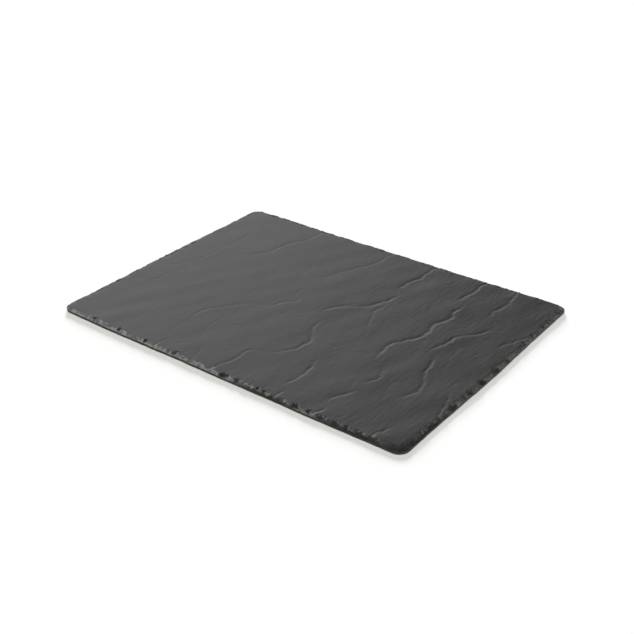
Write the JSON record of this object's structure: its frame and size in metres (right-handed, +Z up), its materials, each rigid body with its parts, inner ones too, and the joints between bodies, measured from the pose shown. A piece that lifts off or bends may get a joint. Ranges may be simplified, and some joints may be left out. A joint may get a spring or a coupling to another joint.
{
  "type": "rectangular platter",
  "caption": "Flat rectangular serving platter with a cleft slate-effect face, a knapped edge, round corners and stick-on feet.",
  "frame": {"origin": "on the table, under the middle of the platter", "axes": "+X along the long side, +Y along the short side towards the back, +Z up from the table"},
  "size_m": [0.4, 0.3, 0.0045],
  "materials": {
    "slate": "matte dark grey, slate texture",
    "foot_rubber": "matte black",
    "adhesive": "translucent double-sided film"
  },
  "bodies": {
    "root": {"slate_slab": "slate", "foot_front_left": "foot_rubber", "foot_front_right": "foot_rubber", "foot_back_left": "foot_rubber", "foot_back_right": "foot_rubber", "film_front_left": "adhesive", "film_front_right": "adhesive", "film_back_left": "adhesive", "film_back_right": "adhesive"}
  },
  "joints": []
}
